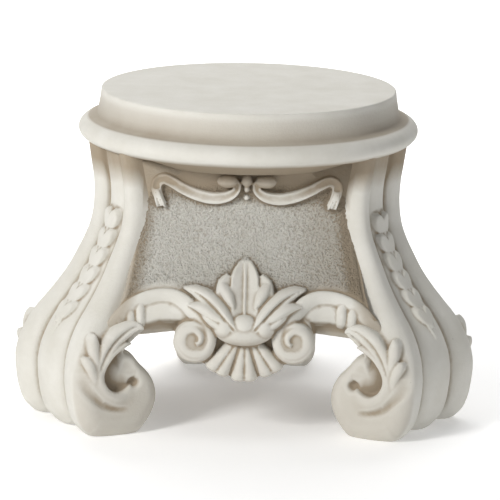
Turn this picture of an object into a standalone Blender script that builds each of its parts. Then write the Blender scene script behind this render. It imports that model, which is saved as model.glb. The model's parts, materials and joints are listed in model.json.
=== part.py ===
"""Rococo plinth: a round stand on three scroll legs, cast in one piece.

Units are metres and +Z is up. The front panel faces -Y. The plinth has three alike sides: a panel with its
ornament faces 0, 120 and 240 degrees, and a leg stands between each two panels.
Shape tables are in millimetres; the driving dimensions stretch them. On a leg u runs outwards and v sideways; on
a panel x runs sideways; z is up.
"""

import math

import bpy
import numpy as np

MM = 0.001

# Driving dimensions, in metres
HEIGHT = 0.290  # floor to the flat top
TOP_RADIUS = 0.1325  # flat disc that carries the statue
TOP_EDGE = 0.0015  # rounded rim of the disc
DRUM_RADIUS = 0.1360  # foot of the drum, which flares a little
DRUM_HEIGHT = 0.0245
TORUS_RADIUS = 0.1525  # widest line of the torus moulding
TORUS_DEPTH = 0.0155  # how far the torus swells out of the wall
TORUS_HALF_HEIGHT = 0.0108
PANEL_NECK = 0.098  # axis to the panel at its narrowest
PANEL_HALF_WIDTH = 0.096  # middle of a panel to its end at the neck
PANEL_BOW = 0.004  # how far a panel's middle stands in front of its ends
LEG_REACH = 0.2055  # axis to the outermost line of a foot
LEG_SET_BACK = 0.0055  # torus to the outer line of a leg at its top
LEG_ROOT = 0.0025  # how far a leg runs up into the torus above its middle
LEG_HALF_WIDTH_NECK = 0.038
LEG_HALF_WIDTH_FOOT = 0.066
REED_DEPTH = 0.0110  # valley between a foot's rib and its rolls
VOLUTE_RADIUS = 0.0605  # largest radius of the scroll at the foot
COIL_DEPTH = 0.0095  # crease round the scroll's inner coil
TROUGH_DEPTH = 0.0065  # trough between the scroll's outer roll and its leaf
RIBBON_WIDTH = 0.0104
RIBBON_HEIGHT = 0.007
HUSK_PITCH = 0.0175
HUSK_HEIGHT = 0.0046
CURL_RADIUS = 0.0185
SHELL_REACH = 0.0465  # middle of the fan to the ends of its flutes
FINGER_WIDTH = 0.009
SIDES = 3  # panels, and legs between them
HUSKS = 6  # in the chain down each leg
GRAIN = 0.0018  # the carved body is fused on a grid this fine
CARVED_TRIANGLES = 8600  # the fused body is thinned to about this many
ROUND_STEPS = 60  # sides of the drum and the torus, a multiple of the panels

# Panel: axis to the field at each height, half width at each height, and the arch's crest and edge
FIELD_LINE = [
    (95, 139), (110, 137), (115, 134), (121, 129.8), (127, 124.5), (138, 116), (150, 109), (163, 104), (180, 99.5),
    (200, 98), (224, 98), (236, 103), (240, 110), (250, 122),
]
FIELD_HALF = [(90, 114), (105, 113), (126, 106), (150, 101), (180, 97), (240, 96)]
ARCH_CREST = [
    (0, 86), (24, 86), (30, 92), (35, 99.5), (43, 110), (53, 120), (65, 125.5), (81, 124.5), (96, 119), (107, 111),
    (114, 105),
]
ARCH_EDGE = [(0, 96), (45, 96), (58, 97.5), (75, 97), (90, 92), (105, 86), (114, 83)]
ARCH_DEPTH = 131  # axis to the lower edge of the arch's face
BACK_DEPTH = 84  # axis to the back of a panel's body
PANEL_TOP = 241

# Leg above the scroll: outer line u z, inner line u z, share of the way from neck to foot
LEG_UPPER = [
    (147, 250, 54, 250, 0), (143, 226, 54, 225, 0), (140, 208, 56, 209, 0), (139.5, 190, 58, 191, 0),
    (142, 173, 59, 176, 0), (147, 160, 63, 166, 0.02), (153.5, 147, 68, 153, 0.09), (161.5, 132, 76, 141, 0.2),
    (171, 118, 86, 128, 0.35), (180, 106.5, 97, 117, 0.49), (189.5, 95, 115, 104, 0.63), (197, 83, 135, 91, 0.76),
    (203, 69, 158, 75, 0.9), (205.5, 57.5, 161, 60, 1),
]
# Scroll, from the outer side down under the foot and up round the inner side: degrees, radius
VOLUTE_RIM = [
    (-4, 44), (-18, 45.5), (-38, 51), (-51, 56.5), (-60, 59), (-68, 60), (-90, 59), (-108, 60.5), (-118, 58.5),
    (-132, 54), (-145, 49), (-157, 42.5), (-171, 33.5), (-195, 23), (-230, 20.6), (-262, 19.8), (-276, 20.5),
]
SCROLL_MIDDLE = (162.0, 55.8)
COIL_MIDDLE = (163.0, 57.0)
COIL_CREASE = [
    (159, 75), (166.5, 74), (173, 69), (177, 62), (178, 57), (177, 51), (173, 44.5), (166.5, 40.5), (160.5, 40.8),
    (155, 43.5),
]
TROUGH = [(203, 64), (200.5, 54), (195, 44), (187, 35), (178, 28.5), (166, 24.5), (154, 24)]
HUSK_TOP = 186

# How far the driving dimensions stretch the tables
NECK_DRAWN = min(depth for _, depth in FIELD_LINE)
HALF_DRAWN = FIELD_HALF[-1][1]
REACH_DRAWN = LEG_UPPER[-1][0]
TORUS_Z = HEIGHT - DRUM_HEIGHT - TORUS_HALF_HEIGHT
UP = (TORUS_Z + LEG_ROOT) / MM / LEG_UPPER[0][1]
ACROSS = PANEL_HALF_WIDTH / MM / HALF_DRAWN
OUT = PANEL_NECK / MM / NECK_DRAWN
ROUND = (TORUS_RADIUS - LEG_SET_BACK) / MM / LEG_UPPER[0][0]
ROLL = VOLUTE_RADIUS / MM / max(radius for _, radius in VOLUTE_RIM)
MIDDLE_U = LEG_REACH / MM - (REACH_DRAWN - SCROLL_MIDDLE[0]) * ROLL
MIDDLE_Z = SCROLL_MIDDLE[1] * ROLL


# Lines and closed surfaces

def smooth_line(knots, count):
    """Points evenly spaced along the Catmull-Rom curve through the knots; further columns follow along."""
    knots = np.array(knots, float)
    k = np.concatenate([2 * knots[:1] - knots[1:2], knots, 2 * knots[-1:] - knots[-2:-1]])
    t = np.linspace(0, 1, 13)[:-1, None]
    rows = [
        0.5 * (2 * b + (c - a) * t + (2 * a - 5 * b + 4 * c - d) * t**2 + (3 * b - a - 3 * c + d) * t**3)
        for a, b, c, d in zip(k[:-3], k[1:-2], k[2:-1], k[3:])
    ]
    dense = np.concatenate(rows + [knots[-1:]])
    run = np.concatenate([[0], np.cumsum(np.linalg.norm(np.diff(dense[:, :2], axis=0), axis=1))])
    at = np.linspace(0, run[-1], count)
    return np.stack([np.interp(at, run, column) for column in dense.T], axis=1)


def ramp(x, low, high):
    """0 below low, 1 above high, and the smooth step 3t^2 - 2t^3 between."""
    t = np.clip((np.asarray(x, float) - low) / (high - low), 0, 1)
    return t * t * (3 - 2 * t)


def tube(rings):
    """A skin over rings (station, around, xyz), closed around, with a fan to the middle of each end ring."""
    rings = np.asarray(rings, float)
    count, around = rings.shape[:2]
    i, j = np.meshgrid(np.arange(count - 1), np.arange(around), indexing="ij")
    a, b = i * around + j, i * around + (j + 1) % around
    c, d = a + around, b + around
    j = np.arange(around)
    k = (j + 1) % around
    last = (count - 1) * around
    faces = np.concatenate([
        np.stack([a, b, d], -1).reshape(-1, 3),
        np.stack([a, d, c], -1).reshape(-1, 3),
        np.stack([k, j, np.full(around, count * around)], -1),
        np.stack([last + j, last + k, np.full(around, count * around + 1)], -1),
    ])
    points = np.concatenate([rings.reshape(-1, 3), [rings[0].mean(axis=0), rings[-1].mean(axis=0)]])
    corners = points[faces]
    volume = np.einsum("ij,ij->i", corners[:, 0], np.cross(corners[:, 1], corners[:, 2])).sum()
    return points, faces if volume > 0 else faces[:, ::-1]


def ball(centre, radii, turns=20, belts=12):
    """An ellipsoid: rings of radius cos(angle) at height sin(angle), scaled by the three radii."""
    high = np.linspace(-math.pi / 2, math.pi / 2, belts + 2)[1:-1, None]
    turn = np.linspace(0, 2 * math.pi, turns, endpoint=False)[None]
    unit = np.stack([np.cos(high) * np.cos(turn), np.cos(high) * np.sin(turn), np.sin(high) + 0 * turn], -1)
    return tube(unit * radii + centre)


def strip(path, across, out, wide, high, sink, steps=10):
    """A raised strip along a path: across it, with t from -1 to 1, the height is sqrt(1 - t^2)."""
    t = np.cos(np.linspace(0, math.pi, steps + 1))[None, :, None]
    path, across, out = (np.asarray(a, float)[:, None, :] for a in (path, across, out))
    wide, high = (np.asarray(a, float)[:, None, None] for a in (wide, high))
    top = path + across * wide * t + out * high * np.sqrt(1 - t**2)
    return tube(np.concatenate([top, path - across * wide - out * sink, path + across * wide - out * sink], axis=1))


def mirrored(shape):
    points, faces = shape
    return points * (-1, 1, 1), faces[:, ::-1]


def turned(shape, side):
    """A shape turned about the plinth's axis to one of its sides."""
    points, faces = shape
    a = 2 * math.pi * side / SIDES
    x, y, z = points.T
    return np.stack([x * math.cos(a) - y * math.sin(a), x * math.sin(a) + y * math.cos(a), z], axis=1), faces


# Top

def top_shape():
    """Disc, drum, torus and the cove under it, turned about the axis."""
    middle = TORUS_RADIUS - TORUS_DEPTH
    cove = TORUS_Z - TORUS_HALF_HEIGHT
    profile = [(TOP_RADIUS - TOP_EDGE, HEIGHT), (TOP_RADIUS, HEIGHT - TOP_EDGE), (DRUM_RADIUS, HEIGHT - DRUM_HEIGHT)]
    for angle in (68, 45, 22, 0, -22, -45, -68, -90):
        a = math.radians(angle)
        profile.append((middle + TORUS_DEPTH * math.cos(a), TORUS_Z + TORUS_HALF_HEIGHT * math.sin(a)))
    profile.append((middle - TORUS_DEPTH, cove - 0.2 * TORUS_HALF_HEIGHT))
    profile.append((middle - 1.6 * TORUS_DEPTH, cove - TORUS_HALF_HEIGHT))
    r, z = np.array(profile)[:, :1] / MM, np.array(profile)[:, 1:] / MM
    a = np.linspace(0, 2 * math.pi, ROUND_STEPS, endpoint=False)
    return tube(np.stack([r * np.cos(a), r * np.sin(a), z + 0 * a], axis=-1))


# Panel

def table(x, rows):
    """The second column of a table, read off against the first."""
    rows = np.array(rows, float)
    return np.interp(x, rows[:, 0], rows[:, 1])


def on_field(x, z, proud=0.0):
    """A point of the drawn panel, standing proud of its field, stretched to the real sizes."""
    x, z = np.broadcast_arrays(np.asarray(x, float), np.asarray(z, float))
    bow = PANEL_BOW / MM * (x / HALF_DRAWN) ** 2
    return np.stack([x * ACROSS, bow - (table(z, FIELD_LINE) + proud) * OUT, z * UP], axis=-1)


def panel_body():
    """The panel's front over s across and t up, with the cove below the arch's crest, closed by a flat back."""
    s, t = np.meshgrid(np.linspace(-1, 1, 90), np.linspace(0, 1, 90), indexing="xy")
    edge = table(np.abs(s) * FIELD_HALF[0][1], ARCH_EDGE)
    z = edge + t * (PANEL_TOP - edge)
    x = s * table(z, FIELD_HALF)
    crest = table(np.abs(x), ARCH_CREST)
    share = np.clip((z - edge) / np.maximum(crest - edge, 1), 0, 1)
    field = table(z, FIELD_LINE)
    cove = ARCH_DEPTH + (table(np.maximum(crest, z), FIELD_LINE) + 1 - ARCH_DEPTH) * share
    in_cove = (z < crest) & (np.abs(x) > ARCH_CREST[2][0])
    front = on_field(x, z, np.where(in_cove, cove - field, 0))
    back = front * (0.9, 0, 1) - (0, BACK_DEPTH * OUT, 0)
    return tube(np.concatenate([front, back[:, ::-1]], axis=1))


def core_shape():
    """The body behind the panels: a six-cornered ring at each level, flat underneath."""
    rings = []
    for z in (98, 121, 150, 180, 238):
        depth = min(float(table(z, FIELD_LINE)), ARCH_DEPTH) - 6
        half = float(table(z, FIELD_HALF)) - 4
        line = np.stack([np.linspace(-half, half, 7) * ACROSS, np.full(7, -depth * OUT), np.full(7, z * UP)], axis=1)
        rings.append(np.concatenate([turned((line, None), side)[0] for side in range(SIDES)]))
    return tube(rings)


def panel_strip(knots, count=24, sink=8):
    """A strip on the panel. Knots: x, z, half width, height, and how far its base stands off the field."""
    rows = smooth_line(knots, count)
    path = on_field(rows[:, 0], rows[:, 1], rows[:, 4])
    along = np.gradient(path[:, [0, 2]], axis=0)
    along /= np.linalg.norm(along, axis=1)[:, None]
    zero = np.zeros(count)
    across = np.stack([-along[:, 1], zero, along[:, 0]], axis=1)
    out = np.stack([zero, zero - 1, zero], axis=1)
    return strip(path, across, out, np.maximum(rows[:, 2], 0.4) * ACROSS, np.maximum(rows[:, 3], 0.4) * OUT, sink * OUT)


def panel_ball(x, z, proud, radii):
    return ball(on_field(x, z, proud), np.array(radii) * (ACROSS, OUT, UP))


def ribbon():
    """The right half of the swag, which hooks over at its outer end and curls into a knob."""
    half, high = RIBBON_WIDTH / MM / 2 / ACROSS, RIBBON_HEIGHT / MM / OUT
    line = [
        (73, 196, 0.6), (77, 202, 0.8), (79.5, 209.5, 0.9), (78.5, 216, 1), (72.5, 218.5, 1), (64, 215, 1),
        (57, 211, 1), (43.5, 205.5, 1), (29.5, 202.8, 1), (18, 204.3, 0.9), (10.6, 208.6, 0.75), (8.6, 213.5, 0.7),
        (11, 217.5, 0.75), (16, 219, 0.6),
    ]
    band = [(x, z, half * share, high, 0.5) for x, z, share in line]
    return [panel_strip(band, 44), panel_ball(17, 218.8, 7.5, (9.2, 6.8, 5.8))]


CURL_MIDDLE = (43.5, 85.5)
CURL_FRONT = 147  # axis to the curl's face
CURL_SPIRAL = [
    (180, 0.73, 5.6), (225, 0.66, 6.8), (270, 0.57, 8.4), (315, 0.56, 8.4), (360, 0.58, 8), (405, 0.58, 7),
    (450, 0.52, 5.6), (495, 0.39, 4.4), (540, 0.26, 3.2), (585, 0.16, 2.2),
]


def arch_scroll():
    """The right half of the scroll over the arch: one band from the leg over the arch and round into its curl.

    Round the curl the band's middle lies at a share of the curl's radius, read off a table against the angle.
    """
    radius = CURL_RADIUS / MM / ACROSS
    rows = [
        (115, 99, 6, 2.5, -1.5), (107, 106.5, 6.6, 3.2, -1.5), (96, 114.5, 7, 3.6, -1.5), (81, 120, 7.2, 3.8, -1.5),
        (65, 121, 7.4, 4.2, -1.5), (53, 116.6, 7.4, 5, -1.5), (43, 108.5, 7, 6, -1.5), (36, 100.5, 6.4, 7, -1.5),
        (31, 92.5, 6, 7.5, -1.5),
    ]
    for angle, share, wide in CURL_SPIRAL:
        a = math.radians(angle)
        x, z = CURL_MIDDLE[0] + share * radius * math.cos(a), CURL_MIDDLE[1] + share * radius * math.sin(a)
        rows.append((x, z, wide, 7.5 + (angle - 180) / 135, -1.5))
    share = np.array([0, 0.03, 0.1, 0.3, 1.0])[:, None]
    size = radius * np.array([0.6, 0.86, 0.97, 1.0, 0.93])[:, None]
    a = np.linspace(0, 2 * math.pi, 40, endpoint=False)[None]
    x, z = CURL_MIDDLE[0] + size * np.cos(a), CURL_MIDDLE[1] + size * np.sin(a)
    disc = tube(np.stack([x * ACROSS, (35 * share - CURL_FRONT + 0 * a) * OUT, z * UP], axis=-1))
    return [panel_strip(rows, 70, sink=14), disc]


def leaves():
    """The right half of the palmette above the bulb: a lobe, and the side leaf with its second and third tips."""
    lobe = [(9, 100, 4, 8, 3), (12, 108, 5.5, 9, 3), (15.5, 117, 6, 9, 3), (18, 126, 7.5, 10, 2), (14.5, 138, 3, 6, 0)]
    side = [(8, 98, 4, 10, 5), (15, 105, 6.6, 12, 5), (24, 114, 8, 12, 4), (34, 122, 7.2, 11, 3), (44, 127, 4.6, 9, 2)]
    second = [(19, 104, 4, 10, 4), (28, 110, 5.6, 11, 4), (38, 115, 5.2, 10, 4), (50, 117, 1, 5, 3)]
    third = [(16, 98, 3.6, 10, 4), (25, 102.5, 4.6, 10, 4), (33, 107.5, 3.6, 9, 3), (39, 111, 1, 4, 2)]
    side.append((54, 129, 1, 4, 1))
    return [panel_strip(rows, 20, sink=14) for rows in (lobe, side, second, third)]


def central_leaf():
    """The upright leaf: over its outline the surface falls from both edges to a valley down its middle."""
    outline = smooth_line([
        (96, 8), (104, 9.5), (114, 12), (126, 12.8), (136, 12.5), (142, 11), (147, 8), (150.5, 4.5), (153.5, 0.6),
    ], 30)
    z, half = outline[:, :1], outline[:, 1:]
    t = np.linspace(-1, 1, 17)[None]
    edge = np.minimum(1, 3.2 * np.sqrt(1 - np.abs(t)))
    lift = (2.5 + 6.5 * np.abs(t)) * edge * ramp(z, 156, 140) + 1 + 3 * ramp(z, 125, 100)
    front = on_field(t * half, z + 0 * t, lift)
    rear = on_field(t[:, ::-1] * half, z + 0 * t, -9)
    return tube(np.concatenate([front, rear], axis=1))


def cartouche():
    """The pad behind the palmette, the crescent bulb with its dome and horns, and the beads of the swag."""
    pad = [(0, 98, 30, 5, -1), (0, 112, 33, 5, -1), (0, 124, 31, 4.5, -1), (0, 133, 22, 4, -1), (0, 142, 9, 3, -1)]
    made = [central_leaf(), panel_strip(pad, 20, sink=12)]
    made += [panel_ball(0, 95.5, 4, (25.5, 11, 13.5)), panel_ball(0, 100, 8.5, (10.5, 10.5, 11))]
    made += [panel_ball(16.5 * side, 99, 7, (9, 10, 9.5)) for side in (-1, 1)]
    return made + [panel_ball(0, 219, 3.5, (4.6, 5, 5.6)), panel_ball(0, 211.5, 1.5, (2.6, 3.6, 3.4))]


def shell():
    """Six flutes in three pairs that fan out below the bulb."""
    made = []
    reach, start = SHELL_REACH / MM / ACROSS, 13
    s = np.linspace(0, 1, 9)
    wide = np.interp(s, [0, 0.35, 0.75, 0.93, 1], [4, 5.4, 6.8, 6, 2.6])
    high = np.interp(s, [0, 0.4, 0.8, 0.95, 1], [9, 11, 10.5, 8, 3])
    for pair in (-1, 0, 1):
        for part in (-1, 1):
            a = math.radians(pair * 31 + part * 6.5)
            r = start + s * (reach - 2.5 * abs(pair) - start)
            x, z = 1.12 * r * math.sin(a), 97 - r * math.cos(a)
            path = np.stack([x * ACROSS, (-134 - 2.5 * s) * OUT, z * UP], axis=1)
            across = np.tile((math.cos(a), 0, math.sin(a)), (len(s), 1))
            made.append(strip(path, across, np.tile((0, -1, 0), (len(s), 1)), wide * ACROSS, high * OUT, 8 * OUT))
    return made


def apron():
    """The plate behind the curls and the shell."""
    half = [(0, 49.5), (24, 53.5), (33, 60), (42, 64.5), (53, 70), (60, 80), (60, 92), (50, 108), (0, 114)]
    x, z = smooth_line(half + [(-x, z) for x, z in half[-2:0:-1]], 60).T
    depth = np.array([-104, -132, -134])[:, None] + 0 * x
    inset = np.array([1, 1, 0.97])[:, None]
    return tube(np.stack([x * inset * ACROSS, depth * OUT, (z * inset + 2.6 * (1 - inset) * 30) * UP], axis=-1))


def fingers():
    """Short flutes that hang from the crest at the outer ends of the arch: three at the left, two at the right."""
    made = []
    half = FINGER_WIDTH / MM / 2 / ACROSS
    for x, share in ((-107, 1), (-97, 0.98), (-87.5, 0.9), (86, 0.93), (95, 0.85)):
        high = 121 - 0.3 * max(abs(x) - 88, 0)
        made.append(panel_strip([
            (x, high - 2, half * share * 0.8, 3, -3), (x * 0.99, high - 9, half * share, 4.5, -6),
            (x * 0.98, high - 16, half * share, 4.5, -9), (x * 0.975, high - 23, half * share * 0.7, 3, -11),
        ], 10))
    return made


def panel_shapes():
    half = ribbon() + arch_scroll() + leaves()
    made = [panel_body(), apron()] + half + [mirrored(shape) for shape in half]
    return made + cartouche() + shell() + fingers()


# Leg

def near_line(p, q, line):
    """Distance from points (p, q) to a polyline, and the share of its length at the nearest point."""
    a, step = line[:-1], np.diff(line, axis=0)
    rel = np.stack([p, q], axis=-1)[..., None, :] - a
    t = np.clip((rel * step).sum(axis=-1) / (step**2).sum(axis=-1), 0, 1)
    far = np.linalg.norm(rel - t[..., None] * step, axis=-1)
    best = far.argmin(axis=-1)[..., None]
    share = (best + np.take_along_axis(t, best, axis=-1)) / len(a)
    return np.take_along_axis(far, best, axis=-1)[..., 0], share[..., 0]


def face_lift(u, z):
    """Height of a leg's side face over its flat, at drawn u and z: the dished coil, its crease, and the trough.

    Round the coil's middle the crease lies at a radius read off its line, and a wall 3 mm wide rises outside it.
    """
    crease = smooth_line(COIL_CREASE, 40) - COIL_MIDDLE
    angle = np.degrees(np.unwrap(np.arctan2(crease[:, 1], crease[:, 0])))
    a = np.degrees(np.arctan2(z - COIL_MIDDLE[1], u - COIL_MIDDLE[0]))
    a = np.where(a > 104, a - 360, a)
    r = np.hypot(u - COIL_MIDDLE[0], z - COIL_MIDDLE[1])
    at = np.interp(-a, -angle, np.hypot(crease[:, 0], crease[:, 1]))
    deep = np.interp(-a, [-104, -92, -70, -20, 30, 80, 120, 150, 190], [0, 0.4, 0.85, 1, 1, 0.85, 0.5, 0.2, 0])
    deep = deep * COIL_DEPTH / MM
    share = np.clip(r / at, 0, 1)
    floor = -(0.3 * COIL_DEPTH / MM * (1 - share**1.3) + deep * share**1.3)
    lift = np.where(r < at, floor, -deep * (1 - ramp(r - at, 0, 3)))
    far, run = near_line(u, z, smooth_line(TROUGH, 16))
    half = np.interp(run, [0, 0.25, 0.6, 1], [7.5, 6.5, 4.5, 2.5])
    down = np.interp(run, [0, 0.1, 0.5, 0.85, 1], [0.7, 1, 0.85, 0.4, 0]) * TROUGH_DEPTH / MM
    return lift - down * np.clip(1 - (far / half) ** 2, 0, 1) ** 1.2


def husk_lift(run, v):
    """Height of the husk chain over the rib: each husk is two round petals side by side and a short stalk below."""
    lift = np.zeros(np.broadcast(run, v).shape)
    pitch, high = HUSK_PITCH / MM, HUSK_HEIGHT / MM
    for i in range(HUSKS):
        a = run / pitch - i
        q = np.sqrt(((np.abs(v) / pitch - 0.3 - 0.18 * (0.5 - a)) / 0.36) ** 2 + ((a - 0.48) / 0.52) ** 2)
        plate = np.sqrt(np.clip((1 - q) / 0.25, 0, 1)) * high * (1 - 0.35 * np.clip(a, 0, 1))
        stalk = np.sqrt(np.clip(1 - (v / pitch / np.interp(a, [0.4, 1], [0.3, 0.15])) ** 2, 0, 1))
        lift = np.maximum(lift, np.maximum(plate, 0.7 * high * stalk * ((a > 0.4) & (a < 1.1))))
    a = run / pitch - HUSKS + 0.3
    half = np.interp(a, [0, 0.3, 1.6], [0.38, 0.32, 0.02])
    tail = 0.5 * high * np.sqrt(np.clip(1 - (v / pitch / half) ** 2, 0, 1))
    return np.maximum(lift, np.where((a > 0) & (a < 1.6), tail, 0))


def leg_lines():
    """Outer line, inner line and half width from the top down and round the scroll, and the angle round it."""
    upper = smooth_line(LEG_UPPER, 90)
    share = upper[:, 4]
    rise = share * (ROLL - 1) * SCROLL_MIDDLE[1]
    outer_u = upper[:, 0] * ROUND + share * (LEG_REACH / MM - REACH_DRAWN * ROUND)
    inner_u = upper[:, 2] * ROUND + share * (MIDDLE_U - SCROLL_MIDDLE[0] * ROUND)
    outer = np.stack([outer_u, upper[:, 1] + rise], axis=1)
    inner = np.stack([inner_u, upper[:, 3] + rise], axis=1)
    rim = np.array(VOLUTE_RIM, float)
    a = np.radians(rim[:, 0])
    rim = smooth_line(np.stack([rim[:, 1] * np.cos(a), rim[:, 1] * np.sin(a)], axis=1), 110) * ROLL
    aim = np.unwrap(np.arctan2(rim[:, 1], rim[:, 0]))
    hub = np.stack([np.cos(aim), np.sin(aim)], axis=1)
    outer = np.concatenate([outer, rim + (MIDDLE_U, MIDDLE_Z)])
    inner = np.concatenate([inner, hub + (MIDDLE_U, MIDDLE_Z)])
    neck, foot = LEG_HALF_WIDTH_NECK / MM, LEG_HALF_WIDTH_FOOT / MM
    half = np.concatenate([neck + share * (foot - neck), np.full(len(rim), foot)])
    around = np.concatenate([np.zeros(len(share)), -np.degrees(aim)])
    return outer, inner, half[:, None], around[:, None]


def leg_body():
    """A leg as rings from the top down and round the scroll, each from the inner line out over the reeded face.

    Across the face, with t from 0 in the middle to 1 at the side, two rolls sqrt(1 - ((t - 0.74) / 0.29)^2) flank
    a rib sqrt(1 - (t / 0.36)^2); the higher one counts.
    """
    outer, inner, half, around = leg_lines()
    on_scroll = around > 0
    run = np.concatenate([[0], np.cumsum(np.linalg.norm(np.diff(outer, axis=0), axis=1))])
    run = (run - np.interp(-HUSK_TOP, -outer[:90, 1], run[:90]))[:, None]
    length = np.linalg.norm(outer - inner, axis=1)[:, None]
    aimed = (outer - inner) / length
    corner = np.minimum(0.28 * half, 0.42 * length)
    valley = REED_DEPTH / LEG_HALF_WIDTH_FOOT * half * (1 - ramp(around, 125, 170))
    rib = np.where(on_scroll, 0.95, 0.55 + 0.4 * ramp(-outer[:, 1:], -150, -80))

    def lifted(rho):
        u, z = inner[:, :1] + aimed[:, :1] * rho, inner[:, 1:] + aimed[:, 1:] * rho
        return face_lift(SCROLL_MIDDLE[0] + (u - MIDDLE_U) / ROLL, z / ROLL)

    face = np.linspace(0, 1, 26)[None] * (length - corner)
    turn = np.radians(np.linspace(0, 90, 8)[1:])[None]
    edge = length - corner + corner * np.sin(turn)
    edge_v = half * (0.78 + 0.22 * np.cos(turn)) + lifted(edge) * (1 - np.sin(turn) ** 6)
    t = np.linspace(0.78, 0, 40)[None, 1:]
    roll = np.sqrt(np.clip(1 - ((t - 0.74) / 0.29) ** 2, 0, 1))
    middle = rib * np.sqrt(np.clip(1 - (t / 0.36) ** 2, 0, 1))
    front = length - valley * (1 - np.maximum(roll, middle)) + husk_lift(run, t * half) * (run > -2)

    rho = np.concatenate([face, edge, front], axis=1)
    v = np.concatenate([half + lifted(face), edge_v, t * half], axis=1)
    rho = np.concatenate([rho, rho[:, -2::-1]], axis=1)
    v = np.concatenate([v, -v[:, -2::-1]], axis=1)
    u = inner[:, :1] + aimed[:, :1] * rho
    z = inner[:, 1:] + aimed[:, 1:] * rho
    return tube(np.stack([u, v, z * UP], axis=-1))


# Lobes of the leaf on a scroll's face. Rows: u, z, half width, height, lift of the base off the face
LOBES = [
    [
        (176, 34, 4, 1.5, 0), (182, 45, 5, 2.5, 0), (184, 57, 5.4, 4, 0), (181, 69, 6.2, 6, 0), (174, 80, 7.6, 8, 1),
        (164, 89, 8.2, 9, 2), (153, 95, 6.5, 8.5, 4), (145, 95.5, 3, 6, 6), (142, 92.5, 1, 3, 6),
    ],
    [(181, 58, 3, 3, 0), (177, 68, 3.4, 5, 1), (169.5, 75.5, 3.8, 6.5, 1), (160, 80.5, 3, 6, 2), (153, 81.5, 1, 3, 3)],
    [(185, 56, 4, 3, 0), (187, 68, 4.6, 5, 0), (188, 78, 5.4, 7, 0), (187.5, 86, 4.6, 7, 1), (186.5, 91.5, 1.6, 4, 2)],
    [(186, 50, 4, 2.5, 0), (190, 59, 4.6, 4.5, 0), (194, 65.5, 4.8, 6.5, 0), (198, 70, 3.8, 6, 0), (201, 71.5, 1.4, 3, 0)],
]


def leg_leaves():
    """The leaf on both faces of a scroll: its lobes rise from the stem beside the coil."""
    made = []
    foot = LEG_HALF_WIDTH_FOOT / MM
    for rows in LOBES:
        rows = smooth_line(rows, 20)
        u = MIDDLE_U + (rows[:, 0] - SCROLL_MIDDLE[0]) * ROLL
        slope = np.interp(rows[:, 1], [69, 83, 95, 107], [0, 3.2, 6.1, 9])
        along = np.gradient(np.stack([u, rows[:, 1] * ROLL * UP], axis=1), axis=0)
        along /= np.linalg.norm(along, axis=1)[:, None]
        zero = np.zeros(len(rows))
        path = np.stack([u, foot - 1 - slope + rows[:, 4], rows[:, 1] * ROLL * UP], axis=1)
        across = np.stack([-along[:, 1], zero, along[:, 0]], axis=1)
        lobe = strip(path, across, np.stack([zero, zero + 1, zero], axis=1), rows[:, 2] * ROLL, rows[:, 3] * ROLL, 9)
        made += [lobe, (lobe[0] * (1, -1, 1), lobe[1][:, ::-1])]
    return made


def leg_shapes():
    """A leg with its leaves and the axle that fills the middle of its scroll, standing between two panels."""
    a = np.linspace(0, 2 * math.pi, 16, endpoint=False)[None]
    v = 0.85 * LEG_HALF_WIDTH_FOOT / MM * np.array([-1, 1])[:, None]
    axle = np.stack([MIDDLE_U + 5 * np.cos(a) + 0 * v, v + 0 * a, (MIDDLE_Z + 5 * np.sin(a) + 0 * v) * UP], axis=-1)
    made = []
    turn = math.pi / SIDES
    for points, faces in [leg_body(), tube(axle)] + leg_leaves():
        u, v, z = points.T
        x, y = u * math.sin(turn) + v * math.cos(turn), v * math.sin(turn) - u * math.cos(turn)
        made.append((np.stack([x, y, z], axis=1), faces))
    return made


# Objects

def new_object(name, shapes, parent):
    """One object from closed shapes given in millimetres."""
    starts = np.cumsum([0] + [len(points) for points, _ in shapes])
    points = np.concatenate([points for points, _ in shapes]) * MM
    faces = np.concatenate([faces + start for (_, faces), start in zip(shapes, starts)])
    mesh = bpy.data.meshes.new(name)
    mesh.from_pydata(points.tolist(), [], faces.tolist())
    obj = bpy.data.objects.new(name, mesh)
    bpy.context.scene.collection.objects.link(obj)
    obj.parent = parent
    return obj


def cutter(name, shape, parent):
    """An object that only serves a modifier: it shows as wire and stays out of a render."""
    obj = new_object(name, [shape], parent)
    obj.hide_render = True
    obj.display_type = "WIRE"
    return obj


def slab_shape():
    """The space between the floor and the middle of the torus, which trims the feet flat."""
    reach = 2 * LEG_REACH / MM
    corners = np.array([(-reach, -reach), (reach, -reach), (reach, reach), (-reach, reach)])
    return tube([np.insert(corners, 2, z, axis=1) for z in (0, TORUS_Z / MM)])


def cast_stone():
    material = bpy.data.materials.new("cast_stone")
    material.use_nodes = True
    shader = material.node_tree.nodes["Principled BSDF"]
    shader.inputs["Base Color"].default_value = (0.70, 0.68, 0.61, 1)
    shader.inputs["Roughness"].default_value = 0.85
    shader.inputs["Metallic"].default_value = 0.0
    return material


def evaluated_mesh(obj):
    bpy.context.view_layer.update()
    return obj.evaluated_get(bpy.context.evaluated_depsgraph_get()).to_mesh()


def boolean(obj, other, operation, name):
    modifier = obj.modifiers.new(name, "BOOLEAN")
    modifier.operation = operation
    modifier.solver = "EXACT"
    modifier.object = other


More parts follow.
